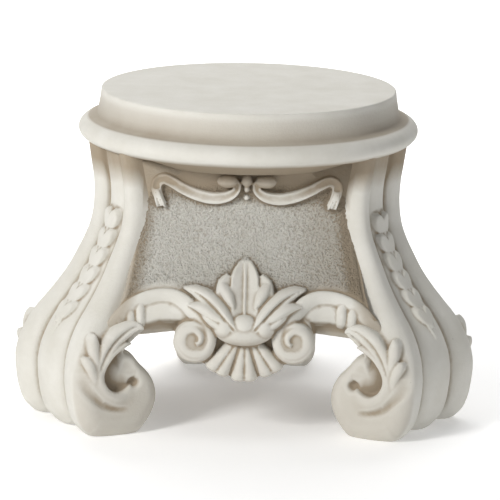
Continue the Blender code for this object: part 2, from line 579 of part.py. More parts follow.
def main():
    for obj in list(bpy.data.objects):
        bpy.data.objects.remove(obj)
    axis = bpy.data.objects.new("plinth_axis", None)
    bpy.context.scene.collection.objects.link(axis)

    carved = panel_shapes() + leg_shapes()
    shapes = [core_shape()] + [turned(shape, side) for side in range(SIDES) for shape in carved]
    plinth = new_object("rococo_plinth", shapes, axis)
    plinth.data.materials.append(cast_stone())

    fused = plinth.modifiers.new("fused", "REMESH")
    fused.mode = "VOXEL"
    fused.voxel_size = GRAIN
    count = 2 * len(evaluated_mesh(plinth).polygons)
    thinned = plinth.modifiers.new("thinned", "DECIMATE")
    thinned.ratio = min(1.0, CARVED_TRIANGLES / count)
    thinned.use_collapse_triangulate = True
    boolean(plinth, cutter("between_floor_and_torus", slab_shape(), axis), "INTERSECT", "feet trimmed flat")
    boolean(plinth, cutter("drum_and_torus", top_shape(), axis), "UNION", "drum and torus")

    # The three-sided outline isn't centred on the axis, so the whole is moved until its box is.
    rows = np.array([v.co for v in evaluated_mesh(plinth).vertices])
    axis.location.y = -float(rows[:, 1].min() + rows[:, 1].max()) / 2


main()
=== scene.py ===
"""Rococo plinth in cast stone: three scroll legs, three ornamented panels, and the round top they carry.

Every carved form is a closed surface worked out with numpy. The forms of a leg, and those of a panel,
are fused on a fine grid, as a cast runs them together, and the result is turned about the axis for the
three sides. Shape tables are in millimetres: u runs outwards along a leg, v sideways, x sideways along a
panel, z up.
"""

import json
import math

import bpy
import numpy as np
from mathutils import Matrix, Vector


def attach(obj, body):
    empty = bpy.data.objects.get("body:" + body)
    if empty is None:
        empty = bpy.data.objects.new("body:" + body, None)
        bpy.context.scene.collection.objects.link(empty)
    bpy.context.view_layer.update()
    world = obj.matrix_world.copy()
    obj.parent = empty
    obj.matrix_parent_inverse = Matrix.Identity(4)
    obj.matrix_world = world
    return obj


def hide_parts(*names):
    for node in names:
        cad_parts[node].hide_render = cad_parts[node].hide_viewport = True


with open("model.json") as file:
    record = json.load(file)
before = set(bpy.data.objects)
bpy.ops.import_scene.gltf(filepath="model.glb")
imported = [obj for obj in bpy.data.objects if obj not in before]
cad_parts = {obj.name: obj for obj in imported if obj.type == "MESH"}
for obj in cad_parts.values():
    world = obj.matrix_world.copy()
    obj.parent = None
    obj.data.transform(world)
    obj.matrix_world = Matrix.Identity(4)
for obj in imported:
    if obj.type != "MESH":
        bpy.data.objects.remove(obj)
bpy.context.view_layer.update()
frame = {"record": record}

MM = 0.001
top_face = next(m for m in frame["record"]["mounts"] if m["name"] == "top_face")
AXIS_Y = float(top_face["pos_m"][1])
HEIGHT = float(top_face["pos_m"][2]) / MM
DRAWN_HEIGHT = 282.0  # the shape tables are drawn for this height
RISE = HEIGHT / DRAWN_HEIGHT

SIDE_TURN = 120  # degrees from one panel, or leg, to the next
LEG_TURN = 60  # degrees from the front to the first leg
NECK_HALF = 38.0  # half width of a leg at its neck
FOOT_HALF = 66.0
REED_DEPTH = 0.16  # valley between rib and roll, as a share of the half width
VOLUTE = (162.0, 55.8)  # middle of a leg's scroll, u and z
HUSKS = 6
HUSK_PITCH = 17.5
HUSK_TOP = 186.0  # height at which the chain of husks starts
GRAIN = 1.0  # millimetres, the grid on which a cast piece is fused
FUSED_TRIANGLES = 155000  # the most that a fused piece keeps


# Lines and measures

def smooth_line(knots, count):
    """Points evenly spaced along the Catmull-Rom curve through the knots; further columns follow along."""
    knots = np.array(knots, float)
    k = np.concatenate([2 * knots[:1] - knots[1:2], knots, 2 * knots[-1:] - knots[-2:-1]])
    t = np.linspace(0, 1, 17)[:-1, None]
    rows = [
        0.5 * (2 * b + (c - a) * t + (2 * a - 5 * b + 4 * c - d) * t**2 + (3 * b - a - 3 * c + d) * t**3)
        for a, b, c, d in zip(k[:-3], k[1:-2], k[2:-1], k[3:])
    ]
    dense = np.concatenate(rows + [knots[-1:]])
    run = np.concatenate([[0], np.cumsum(np.linalg.norm(np.diff(dense[:, :2], axis=0), axis=1))])
    at = np.linspace(0, run[-1], count)
    return np.stack([np.interp(at, run, column) for column in dense.T], axis=1)


def ramp(x, low, high):
    """0 below low, 1 above high, and the smooth step 3t^2 - 2t^3 between."""
    t = np.clip((np.asarray(x, float) - low) / (high - low), 0, 1)
    return t * t * (3 - 2 * t)


def bell(x, wide):
    """exp(-(x / wide)^2)."""
    return np.exp(-((np.asarray(x, float) / wide) ** 2))


def near_line(p, q, line):
    """Signed distance from points (p, q) to a polyline, and how far along it the nearest point lies."""
    line = np.asarray(line, float)
    flat = np.stack([p.ravel(), q.ravel()], axis=1)
    a, step = line[:-1], np.diff(line, axis=0)
    size = (step**2).sum(axis=1)
    best = np.full(len(flat), np.inf)
    signed = np.zeros(len(flat))
    share = np.zeros(len(flat))
    for i in range(len(a)):
        rel = flat - a[i]
        t = np.clip(rel @ step[i] / size[i], 0, 1)
        off = rel - t[:, None] * step[i]
        far = np.hypot(off[:, 0], off[:, 1])
        side = np.sign(step[i][0] * rel[:, 1] - step[i][1] * rel[:, 0])
        better = far < best
        best = np.where(better, far, best)
        signed = np.where(better, far * side, signed)
        share = np.where(better, (i + t) / len(a), share)
    return signed.reshape(p.shape), share.reshape(p.shape)


# Closed surfaces: each is (points, triangles), in millimetres, faces outwards

def outward(points, faces):
    corners = points[faces]
    volume = np.einsum("ij,ij->i", corners[:, 0], np.cross(corners[:, 1], corners[:, 2])).sum()
    return points, faces if volume > 0 else faces[:, ::-1]


def tube(rings):
    """A skin over rings (station, around, xyz), closed around, with a fan to the middle of each end ring."""
    rings = np.asarray(rings, float)
    count, around = rings.shape[:2]
    i, j = np.meshgrid(np.arange(count - 1), np.arange(around), indexing="ij")
    a, b = i * around + j, i * around + (j + 1) % around
    c, d = a + around, b + around
    faces = [np.stack([a, b, d], -1).reshape(-1, 3), np.stack([a, d, c], -1).reshape(-1, 3)]
    ends = [rings[0].mean(axis=0), rings[-1].mean(axis=0)]
    j = np.arange(around)
    k = (j + 1) % around
    last = (count - 1) * around
    faces.append(np.stack([k, j, np.full(around, count * around)], -1))
    faces.append(np.stack([last + j, last + k, np.full(around, count * around + 1)], -1))
    return outward(np.concatenate([rings.reshape(-1, 3), ends]), np.concatenate(faces))


def ball(centre, radii, turns=36, belts=24):
    """An ellipsoid: rings of radius cos(angle) at height sin(angle), scaled by the three radii."""
    high = np.linspace(-math.pi / 2, math.pi / 2, belts + 2)[1:-1, None]
    turn = np.linspace(0, 2 * math.pi, turns, endpoint=False)[None]
    unit = np.stack([np.cos(high) * np.cos(turn), np.cos(high) * np.sin(turn), np.sin(high) + 0 * turn], -1)
    return tube(unit * radii + centre)


def strip(path, across, out, wide, high, sink, shape="round", steps=20):
    """A raised strip along a path. Across it, t runs from -1 to 1 and the height follows the named shape:

    round is sqrt(1 - t^2); band is flat with raised rims and a hollow face; leaf is round with a groove
    along the middle; petal is round and hollowed like a spoon.
    """
    t = np.cos(np.linspace(0, math.pi, steps + 1))
    edge = np.sqrt(np.clip(1 - t**2, 0, 1))
    height = {
        "round": edge,
        "band": np.minimum(1, 1.6 * edge) * (0.62 + 0.38 * np.abs(t) ** 2.5),
        "leaf": edge**0.8 * (1 - 0.38 * bell(t, 0.2)),
        "petal": edge**0.6 * (0.72 + 0.28 * t**2),
    }[shape]
    path, across, out = (np.asarray(a, float)[:, None, :] for a in (path, across, out))
    wide, high = (np.asarray(a, float)[:, None, None] for a in (wide, high))
    top = path + across * wide * t[None, :, None] + out * high * height[None, :, None]
    foot = path - across * wide * 0.96 - out * sink, path + across * wide * 0.96 - out * sink
    return tube(np.concatenate([top, foot[0], foot[1]], axis=1))


def turned(profile, steps):
    """A profile of (radius, height) turned about the axis; its first and last points lie on the axis."""
    profile = np.asarray(profile, float)[1:-1]
    a = np.linspace(0, 2 * math.pi, steps, endpoint=False)
    r, z = profile[:, :1], profile[:, 1:]
    return tube(np.stack([r * np.cos(a), r * np.sin(a), z + 0 * a], axis=-1))


# Panel: the bare field, the cove under it, and the ornament

FIELD_LINE = smooth_line([
    (40, 141.5), (75, 142), (90, 142), (100, 140.5), (109, 137.5), (115, 134), (121, 129.8), (127, 124.5),
    (138, 116), (150, 109), (163, 104), (180, 99.5), (200, 98), (224, 98), (231, 99.5), (236, 103),
    (240, 110), (243, 122),
], 300)
FIELD_HALF = [(90, 114), (105, 113), (126, 106), (150, 101), (180, 97), (240, 96)]
ARCH_CREST = [
    (0, 86), (24, 86), (30, 92), (35, 99.5), (43, 110), (53, 120), (65, 125.5), (81, 124.5), (96, 119),
    (107, 111), (114, 105),
]
ARCH_EDGE = [(0, 96), (45, 96), (58, 97.5), (75, 97), (90, 92), (105, 86), (114, 83)]
ARCH_FOOT = 129  # axis to the lower edge of the arch's face
ARCH_START = 30  # the arch begins this far from the panel's middle
PANEL_TOP = 241
BACK_DEPTH = 84  # axis to the panel's flat back
PANEL_BOW = 4  # how far the field lies back at BOW_REACH from its middle
BOW_REACH = 88


def table(x, rows):
    """The second column of a table, read off against the first."""
    rows = np.array(rows, float)
    return np.interp(x, rows[:, 0], rows[:, 1])


def field_depth(z):
    """Distance from the axis to the middle of a panel at height z."""
    return np.interp(z, FIELD_LINE[:, 0], FIELD_LINE[:, 1])


def field_half(z):
    return table(z, FIELD_HALF)


def bow(x):
    """How far the field lies behind its middle: it grows with the square of x."""
    return PANEL_BOW * (x / BOW_REACH) ** 2


def on_field(x, z, proud=0.0):
    """A point standing proud of the bare front panel."""
    x, z = np.broadcast_arrays(np.asarray(x, float), np.asarray(z, float))
    return np.stack([x, bow(x) - field_depth(z) - proud, z], axis=-1)


def panel_body():
    """The panel's front over s across and t up, with the arch's face below its crest, closed by a flat back.

    With the share from 0 at the arch's lower edge to 1 at its crest, the face runs evenly from its foot to
    the field, swells by 5 sin(pi share^0.8) on the way, and turns under by 4 mm at the foot.
    """
    s, t = np.meshgrid(np.linspace(-1, 1, 240), np.linspace(0, 1, 260), indexing="xy")
    edge = table(np.abs(s * FIELD_HALF[0][1]), ARCH_EDGE)
    z = edge + t * (PANEL_TOP - edge)
    x = s * field_half(z)
    crest, edge = table(np.abs(x), ARCH_CREST), table(np.abs(x), ARCH_EDGE)
    share = np.clip((z - edge) / np.maximum(crest - edge, 1), 0, 1)
    level = field_depth(np.maximum(crest, z)) - (ARCH_FOOT - 1)
    face = ARCH_FOOT + level * share + 5 * np.sin(np.pi * share**0.8) - 4 * ramp(share, 0.22, 0)
    depth = np.where((z < crest) & (np.abs(x) > ARCH_START), face, field_depth(z))
    front = np.stack([x, bow(x) - depth, z], axis=-1)
    back = front * (0.9, 0, 1) + (0, -BACK_DEPTH, 0)
    return tube(np.concatenate([front, back[:, ::-1]], axis=1))


def panel_strip(knots, count=40, sink=7, shape="round", lean=0.0):
    """A strip on the panel. Knots: x, z, half width, height, and how far its base stands off the field."""
    rows = smooth_line(knots, count)
    along = np.gradient(rows[:, :2], axis=0)
    along /= np.linalg.norm(along, axis=1)[:, None]
    zero = np.zeros(count)
    across = np.stack([-along[:, 1], zero, along[:, 0]], axis=1)
    out = np.stack([zero, zero - 1, zero + lean], axis=1) / math.hypot(1, lean)
    return strip(
        on_field(rows[:, 0], rows[:, 1], rows[:, 4]), across, out,
        np.maximum(rows[:, 2], 0.3), np.maximum(rows[:, 3], 0.3), sink, shape,
    )


def ribbon():
    """The right half of the swag: a hollow-faced band, hooked over at its outer end, and its knob."""
    line = [
        (73, 196), (77, 202), (79.5, 209.5), (78.5, 216), (72.5, 218.5), (64, 215), (57, 211), (43.5, 205.5),
        (29.5, 202.8), (18, 204.3), (10.6, 208.6), (8.6, 213.5), (11, 217.5), (16, 219),
    ]
    wide = [3, 4.2, 4.8, 5, 5, 5, 5.1, 5.3, 5.3, 4.8, 4, 3.6, 3.8, 3]
    high = [4, 5.5, 6.5, 7, 7, 7, 7, 7, 7.5, 8, 8.5, 8.5, 8, 7]
    band = [(x, z, w, h, 0.5) for (x, z), w, h in zip(line, wide, high)]
    made = [panel_strip(band, 90, shape="band")]
    made.append(ball((17, -105.5, 218.8), (9.2, 6.8, 5.8)))
    for i, lean in enumerate((-0.9, 0, 0.9)):
        fold = [(75 + 3.6 * lean, 195 - abs(lean), 0.9, 5.5, 1), (78 + 2.9 * lean, 203, 1.3, 7.2, 1),
                (79.5 + 1.5 * lean, 210, 0.7, 7.2, 0.5)]
        made.append(panel_strip(fold, 16))
    return made


CURL_MIDDLE = (43.5, 85.5)
CURL_RADIUS = 18.5
CURL_SPIRAL = [
    (180, 13.5, 5.6), (225, 12.2, 6.8), (270, 10.5, 8.4), (315, 10.4, 8.4), (360, 10.8, 8), (405, 10.8, 7),
    (450, 9.6, 5.6), (495, 7.2, 4.4), (540, 4.8, 3.2), (585, 3, 2.2),
]


def arch_scroll():
    """The right half of the scroll over the arch: one band from the leg, over the arch, to the curl's eye.

    Round the curl the band's middle lies at a radius and has a half width read off a table against the angle.
    """
    crest = [
        (121, 91, 3, 0.6), (115, 98.5, 5.4, 1.8), (107, 106.5, 6.6, 3.2), (96, 114.5, 7, 3.6),
        (81, 120, 7.2, 3.8), (65, 121, 7.4, 4.2), (53, 116.6, 7.4, 5), (43, 108.5, 7, 6),
        (36, 100.5, 6.4, 7), (31, 92.5, 6, 7.5),
    ]
    rows = [(x, z, w, h, -1.5) for x, z, w, h in crest]
    for angle, r, w in CURL_SPIRAL:
        a = math.radians(angle)
        lift = 7.5 + 3.0 * (angle - 180) / 405
        rows.append((CURL_MIDDLE[0] + r * math.cos(a), CURL_MIDDLE[1] + r * math.sin(a), w, lift, -1.5))
    return [panel_strip(rows, 150, sink=14, lean=0.18), curl_disc()]


def curl_disc():
    """The round body behind the curl's band, 37.9 mm deep, its front rounded over."""
    share = np.array([0, 0.03, 0.1, 0.3, 0.6, 1.0])[:, None]
    radius = CURL_RADIUS * np.array([0.6, 0.86, 0.97, 1.0, 0.98, 0.93])[:, None]
    a = np.linspace(0, 2 * math.pi, 96, endpoint=False)[None]
    x, z = CURL_MIDDLE[0] + radius * np.cos(a), CURL_MIDDLE[1] + radius * np.sin(a)
    return tube(np.stack([x, -146.9 + 37.9 * share + 0 * a, z], axis=-1))


def leaves():
    """The right half of the palmette above the bulb: lobe and oval, and the side leaf with its three tips."""
    lobe = [
        (9, 100, 3.5, 8, 2), (12, 108, 5, 9, 2), (15.5, 117, 5.5, 9, 2), (18, 125, 7, 10, 2),
        (17.5, 132, 6.6, 9.5, 1), (13.5, 139, 3, 6, 0),
    ]
    side = [
        (8, 98, 4, 10, 5), (15, 105, 6.6, 12, 5), (24, 114, 8, 12, 4), (34, 122, 7.2, 11, 3),
        (44, 127, 4.6, 9, 2), (54, 129, 0.8, 4, 1),
    ]
    second = [(19, 104, 4, 10, 4), (28, 110, 5.6, 11, 4), (38, 115, 5.2, 10, 4), (50, 117, 0.8, 5, 3)]
    third = [(16, 98, 3.6, 10, 4), (25, 102.5, 4.6, 10, 4), (33, 107.5, 3.6, 9, 3), (39, 111, 0.8, 4, 2)]
    oval = [
        (9.5, 116, 2, 9, 2), (13, 121, 5, 11.5, 2), (17, 126.5, 6.2, 12.5, 1.5), (20.5, 132, 4.6, 11, 1),
        (22.5, 136, 1.2, 6, 0),
    ]
    return [
        panel_strip(lobe, 40, sink=12, shape="petal"), panel_strip(oval, 36, sink=12),
        panel_strip(side, 50, sink=14, shape="leaf"), panel_strip(second, 40, sink=14),
        panel_strip(third, 36, sink=14),
    ]


def central_leaf():
    """The upright leaf: its surface falls from both edges to a valley, with a thin rib down the middle."""
    outline = smooth_line([
        (96, 8), (104, 9.5), (114, 12), (126, 12.8), (136, 12.5), (142, 11), (147, 8), (150.5, 4.5),
        (153.5, 0.4),
    ], 90)
    z, half = outline[:, :1], outline[:, 1:]
    t = np.linspace(-1, 1, 61)[None]
    edge = np.minimum(1, 3.2 * np.sqrt(np.clip(1 - np.abs(t), 0, 1)))
    level = (2.5 + 6.5 * np.abs(t) ** 1.1) * edge + 3.2 * bell(t * half, 0.9)
    lift = level * ramp(z, 156, 140) * 0.9 + 1.0 + 3.0 * ramp(z, 125, 100)
    front = on_field(t * half, z + 0 * t, lift)
    rear = on_field(t[:, ::-1] * half, z + 0 * t, -9)
    return tube(np.concatenate([front, rear], axis=1))


def palmette():
    """The upright leaf and the low pad behind it."""
    pad = [
        (0, 98, 30, 5, -1), (0, 112, 33, 5, -1), (0, 124, 31, 4.5, -1), (0, 133, 22, 4, -1),
        (0, 142, 9, 3, -1),
    ]
    return [central_leaf(), panel_strip(pad, 40, sink=12)]


def bulb():
    """The crescent that carries the palmette: a long swelling, a dome in its middle and two horns."""
    swelling = ball((0, -144, 95.5), (25.5, 12, 12))
    dome = ball((0, -146.6, 101.5), (11.8, 9.8, 9.5))
    horns = [ball((17 * side, -146.2, 99.5), (9.8, 10, 9)) for side in (-1, 1)]
    return [swelling, dome] + horns


def shell():
    """Six flutes in three pairs that fan out below the bulb, before a plain backing plate."""
    made = []
    for pair in (-1, 0, 1):
        for part in (-1, 1):
            a = math.radians(pair * 31 + part * 6)
            reach = 46.5 - abs(pair)
            s = np.linspace(0, 1, 26)
            r = 13 + s * (reach - 13)
            wide = np.interp(s, [0, 0.35, 0.75, 0.93, 1], [4.0, 5.6, 7.2, 7.0, 4.4])
            high = np.interp(s, [0, 0.4, 0.8, 0.95, 1], [9, 11, 10.5, 8.5, 4])
            x, z = 1.12 * r * math.sin(a) + 0.6, 97.0 - r * math.cos(a)
            path = np.stack([x, -133 - 2.5 * s, z], axis=1)
            across = np.tile((math.cos(a), 0, math.sin(a)), (26, 1))
            made.append(strip(path, across, np.tile((0, -1, 0), (26, 1)), wide, high, 8))
    return made


def apron():
    """The plate behind the curls and the shell, a lobed outline pushed back from the front."""
    back = smooth_line([
        (-60, 92), (-60, 80), (-53, 70), (-42, 66), (-33, 64), (-24, 59.5), (0, 56), (24, 59.5), (33, 64),
        (42, 66), (53, 70), (60, 80), (60, 92), (50, 108), (0, 114), (-50, 108),
    ], 120)
    share = np.array([0, 0.04, 0.1, 0.9, 0.96, 1])[:, None]
    inset = np.array([2.2, 0.7, 0, 0, 0.7, 2.2])[:, None]
    centre = back.mean(axis=0)
    away = back - centre
    away /= np.linalg.norm(away, axis=1)[:, None]
    x = back[None, :, 0] - inset * away[None, :, 0]
    z = back[None, :, 1] - inset * away[None, :, 1]
    return tube(np.stack([x, -104 - 30 * share + 0 * x, z], axis=-1))


def fingers():
    """Short flutes at the outer ends of the arch: three at the left, two at the right.

    Each starts near the crest and follows the arch's face 23 mm down.
    """
    made = []
    for x, wide in ((-111, 5.0), (-101.5, 4.8), (-92.5, 4.4), (86, 4.6), (95.5, 4.4)):
        high = 119 - 0.45 * max(abs(x) - 88, 0)
        knots = [
            (x, high, wide * 0.7, 3.5, -2), (x * 0.995, high - 6, wide, 5, -4),
            (x * 0.99, high - 13, wide, 5, -6.5), (x * 0.985, high - 19, wide * 0.9, 4, -9.5),
            (x * 0.98, high - 23, wide * 0.5, 2, -12),
        ]
        made.append(panel_strip(knots, 24, sink=8))
    return made


def mirrored(shape):
    points, faces = shape
    return points * (-1, 1, 1), faces[:, ::-1]


def beads():
    """Three beads below one another, where the two halves of the swag meet."""
    rows = [
        ((0, -102.5, 219), (4.6, 5.0, 5.6)), ((0, -100, 211.5), (2.4, 3.4, 3.4)),
        ((0, -99, 203.6), (2.4, 3.2, 2.4)),
    ]
    return [ball(centre, radii) for centre, radii in rows]


def panel_shapes():
    half = ribbon() + arch_scroll() + leaves()
    made = [panel_body(), apron()] + half + [mirrored(shape) for shape in half]
    return made + palmette() + bulb() + shell() + fingers() + beads()


# Leg

# Outer line u z, inner line u z, and share of the way from neck to foot
LEG_UPPER = [
    (147, 250, 54, 250, 0), (143, 226, 54, 225, 0), (140, 208, 56, 209, 0), (139.5, 190, 58, 191, 0),
    (142, 173, 59, 176, 0), (147, 160, 63, 166, .02), (153.5, 147, 68, 153, .09), (161.5, 132, 76, 141, .2),
    (171, 118, 86, 128, .35), (180, 106.5, 97, 117, .49), (189.5, 95, 115, 104, .63), (197, 83, 135, 91, .76),
    (203, 69, 158, 75, .9), (205.5, 57.5, 161, 60, 1),
]
# Round the scroll, from its outer side down under the foot and up the inner side: degrees, radius
VOLUTE_RIM = [
    (-4, 44), (-18, 45.5), (-38, 51), (-51, 56.5), (-60, 59), (-68, 60), (-90, 59), (-108, 60.5),
    (-118, 58.5), (-132, 54), (-145, 49), (-157, 42.5), (-171, 33.5), (-195, 23), (-230, 20.6),
    (-262, 19.8), (-276, 20.5),
]
COIL_MIDDLE = (163.0, 57.0)
COIL_CREASE = [
    (159, 75), (166.5, 74), (173, 69), (177, 62), (178, 57), (177, 51), (173, 44.5), (166.5, 40.5),
    (160.5, 40.8), (155, 43.5),
]
# Degrees round the coil, clockwise, and depth of the crease
COIL_DEPTH = [
    (-104, 0), (-92, 4.5), (-70, 9), (-20, 11), (30, 11), (80, 9), (120, 5.5), (150, 2), (190, 0),
    (256, 0),
]
COIL_EYE = (148.5, 46.4)
TROUGH = [(203, 64), (200.5, 54), (195, 44), (187, 35), (178, 28.5), (166, 24.5), (154, 24)]


def face_lift(u, z):
    """Height of a leg's side face over its flat: the dished coil, its crease and eye, and a trough.

    Round the coil's middle the crease lies at a radius read off its line. The floor falls from 3 mm at the
    middle to the crease's depth, and outside it rise a wall 2.2 mm wide and a low stem.
    """
    crease = smooth_line(COIL_CREASE, 60) - COIL_MIDDLE
    angle = np.degrees(np.unwrap(np.arctan2(crease[:, 1], crease[:, 0])))
    a = np.degrees(np.arctan2(z - COIL_MIDDLE[1], u - COIL_MIDDLE[0]))
    a = np.where(a > 104, a - 360, a)
    r = np.hypot(u - COIL_MIDDLE[0], z - COIL_MIDDLE[1])
    at = np.interp(-a, -angle, np.hypot(crease[:, 0], crease[:, 1]))
    deep = table(-a, COIL_DEPTH)
    share = np.clip(r / at, 0, 1)
    floor = -(3.0 * (1 - share**1.3) + deep * share**1.3)
    wall = -deep * (1 - ramp(r - at, 0, 2.2))
    lift = np.where(r < at, floor, wall)
    lift = np.where((deep < 0.01) & (r > at), 0, lift)
    stem = ramp(-a, -95, -60) * ramp(-a, 130, 70)
    lift = lift + 2.6 * stem * bell(r - at - 5.5, 4.5) * (r > at)
    lift = lift - 6.5 * np.exp(-((np.hypot(u - COIL_EYE[0], z - COIL_EYE[1]) / 4.2) ** 3))
    side, run = near_line(u, z, smooth_line(TROUGH, 40))
    half = np.interp(run, [0, 0.25, 0.6, 1], [7.5, 6.5, 4.5, 2.5])
    down = np.interp(run, [0, 0.1, 0.5, 0.85, 1], [1, 2.2, 2.5, 1.5, 0])
    lift = lift - down * np.clip(1 - (side / half) ** 2, 0, 1) ** 1.2
    return lift


def husk_lift(run, v):
    """Height of the husk chain over the rib: each husk is two round petals side by side over a short stalk.

    A petal is a plate over an ellipse, its height (1 - q)^0.5 near the rim, thicker towards its upper end.
    """
    lift = np.zeros(np.broadcast(run, v).shape)
    for i in range(HUSKS):
        a = run - i * HUSK_PITCH
        for sign in (-1, 1):
            across = (sign * v - 5.0) - 0.18 * (9 - a)
            q = np.sqrt((across / 7.0) ** 2 + ((a - 8.8) / 9.8) ** 2)
            plate = np.clip((1 - q) / 0.22, 0, 1) ** 0.5 * (5.6 - 2.2 * np.clip(a / HUSK_PITCH, 0, 1))
            lift = np.maximum(lift, plate)
        stalk = np.clip(1 - (np.abs(v) / np.interp(a, [8, 18, 21], [7, 4.4, 3])) ** 2, 0, 1) ** 0.5
        lift = np.maximum(lift, 3.4 * stalk * ((a > 8) & (a < 21)))
    a = run - HUSKS * HUSK_PITCH + 6
    half = np.interp(a, [0, 6, 24], [7, 6, 0.3])
    inside = np.clip(1 - (v / half) ** 2, 0, 1)
    tail = 2.4 * np.clip(inside * 6, 0, 1) ** 0.5 * (0.55 + 0.45 * (v / half) ** 2)
    return np.maximum(lift, np.where((a > 0) & (a < 24), tail * ramp(a, 25, 17), 0))


def leg_body():
    """The leg as rings from the top down and round the scroll, each from the inner line out over the reeds.

    Across the face, with t from 0 in the middle to 1 at the side, two rolls sqrt(1 - ((t - 0.74) / 0.29)^2)
    flank a rib sqrt(1 - (t / 0.36)^2), and the fifth root of the sum of their fifth powers joins them softly.
    """
    upper = smooth_line(LEG_UPPER, 190)
    rim = np.array(VOLUTE_RIM, float)
    a = np.radians(rim[:, 0])
    rim = np.stack([VOLUTE[0] + rim[:, 1] * np.cos(a), VOLUTE[1] + rim[:, 1] * np.sin(a)], axis=1)
    rim = smooth_line(rim, 330)
    aim = np.unwrap(np.arctan2(rim[:, 1] - VOLUTE[1], rim[:, 0] - VOLUTE[0]))
    inner = np.stack([VOLUTE[0] + 0.2 * np.cos(aim), VOLUTE[1] + 0.2 * np.sin(aim)], axis=1)
    outer = np.concatenate([upper[:, :2], rim])
    inner = np.concatenate([upper[:, 2:4], inner])
    half = NECK_HALF + upper[:, 4] * (FOOT_HALF - NECK_HALF)
    half = np.concatenate([half, np.full(len(rim), FOOT_HALF)])[:, None]
    around = np.concatenate([np.zeros(len(upper)), -np.degrees(aim)])[:, None]
    on_scroll = (np.arange(len(outer)) >= len(upper))[:, None]
    run = np.concatenate([[0], np.cumsum(np.linalg.norm(np.diff(outer, axis=0), axis=1))])
    run = (run - np.interp(-HUSK_TOP, -upper[:, 1], run[: len(upper)]))[:, None]

    length = np.linalg.norm(outer - inner, axis=1)[:, None]
    aimed = (outer - inner) / length
    corner = np.minimum(0.28 * half, 0.42 * length)
    deepened = 1 + 0.5 * ramp(outer[:, 1:], 120, 200)
    valley = REED_DEPTH * half * np.where(on_scroll, 1 - ramp(around, 125, 170), deepened)
    rib = np.where(on_scroll, 0.95, 0.55 + 0.4 * ramp(-outer[:, 1:], -150, -80))

    face = np.linspace(0, 1, 60)[None] * (length - corner)
    lift = face_lift(inner[:, :1] + aimed[:, :1] * face, inner[:, 1:] + aimed[:, 1:] * face)
    turn = np.radians(np.linspace(0, 90, 16)[1:])[None]
    edge = length - corner + corner * np.sin(turn)
    on_edge = face_lift(inner[:, :1] + aimed[:, :1] * edge, inner[:, 1:] + aimed[:, 1:] * edge)
    edge_v = half * (0.78 + 0.22 * np.cos(turn)) + on_edge * (1 - np.sin(turn) ** 6)
    t = np.linspace(0.78, 0, 70)[None, 1:]
    roll = np.sqrt(np.clip(1 - ((t - 0.74) / 0.29) ** 2, 0, 1))
    middle = rib * np.sqrt(np.clip(1 - (t / 0.36) ** 2, 0, 1))
    front = length - valley * (1 - (roll**5 + middle**5) ** 0.2)
    front = front + husk_lift(run, t * half) * ((run > -2) & (run < HUSKS * HUSK_PITCH + 30))

    rho = np.concatenate([face, edge, front], axis=1)
    v = np.concatenate([half + lift, edge_v, t * half], axis=1)
    rho = np.concatenate([rho, rho[:, -2::-1]], axis=1)
    v = np.concatenate([v, -v[:, -2::-1]], axis=1)
    u = inner[:, :1] + aimed[:, :1] * rho
    z = inner[:, 1:] + aimed[:, 1:] * rho
    return tube(np.stack([u, v, z], axis=-1))


def leg_leaves():
    """Both faces' acanthus: lobes that rise from the stem beside the coil and fan out over the scroll.

    Rows: u, z, half width, height, lift of the base off the face.
    """
    lobes = [
        ("leaf", [
            (176, 34, 4, 1.5, 0), (182, 45, 5, 2.5, 0), (184, 57, 5.4, 4, 0), (181, 69, 6.2, 6, 0),
            (174, 80, 7.6, 8, 1), (164, 89, 8.2, 9, 2), (153, 95, 6.5, 8.5, 4), (145, 95.5, 3, 6, 7),
            (142, 92.5, 1, 3, 8),
        ]),
        ("round", [
            (181, 58, 3, 3, 0), (177, 68, 3.4, 5, 1), (169.5, 75.5, 3.8, 6.5, 1), (160, 80.5, 3, 6, 2),
            (153, 81.5, 1, 3, 3),
        ]),
        ("round", [
            (185, 56, 4, 3, 0), (187, 68, 4.6, 5, 0), (188, 78, 5.4, 6, 0), (187.5, 86, 4.6, 5.5, 0),
            (186.5, 91.5, 1.6, 3, 0),
        ]),
        ("round", [
            (186, 50, 4, 2.5, 0), (190, 59, 4.6, 4.5, 0), (193, 65.5, 4.8, 5.5, 0), (196, 70, 3.8, 4.5, -1),
            (198, 72, 1.4, 2.5, -1),
        ]),
    ]
    made = []
    for sign in (-1, 1):
        for shape, rows in lobes:
            rows = smooth_line(rows, 44)
            along = np.gradient(rows[:, :2], axis=0)
            along /= np.linalg.norm(along, axis=1)[:, None]
            zero = np.zeros(len(rows))
            slope = np.interp(rows[:, 1], [69, 83, 95, 107], [0, 3.2, 6.1, 9])
            path = np.stack([rows[:, 0], sign * (FOOT_HALF - 1.0 - slope + rows[:, 4]), rows[:, 1]], axis=1)
            across = np.stack([-along[:, 1], zero, along[:, 0]], axis=1)
            out = np.stack([zero, zero + sign, zero], axis=1)
            made.append(strip(path, across, out, rows[:, 2], 0.85 * rows[:, 3], 9, shape))
    return made


def leg_shapes():
    """A leg, its leaves, and the axle that fills the middle of its scroll."""
    a = np.linspace(0, 2 * math.pi, 24, endpoint=False)[None]
    v = np.array([-56.0, 56.0])[:, None]
    u, z = VOLUTE[0] + 5 * np.cos(a), VOLUTE[1] + 5 * np.sin(a)
    return [leg_body(), tube(np.stack([u + 0 * v, v + 0 * a, z + 0 * v], axis=-1))] + leg_leaves()


def leg_to_plinth(points, turn):
    """From a leg's u, v, z to x, y, z, the leg standing at the given angle from the front."""
    a = math.radians(turn)
    u, v, z = points.T
    return np.stack([u * math.sin(a) + v * math.cos(a), -u * math.cos(a) + v * math.sin(a), z], axis=1)


# Meshes

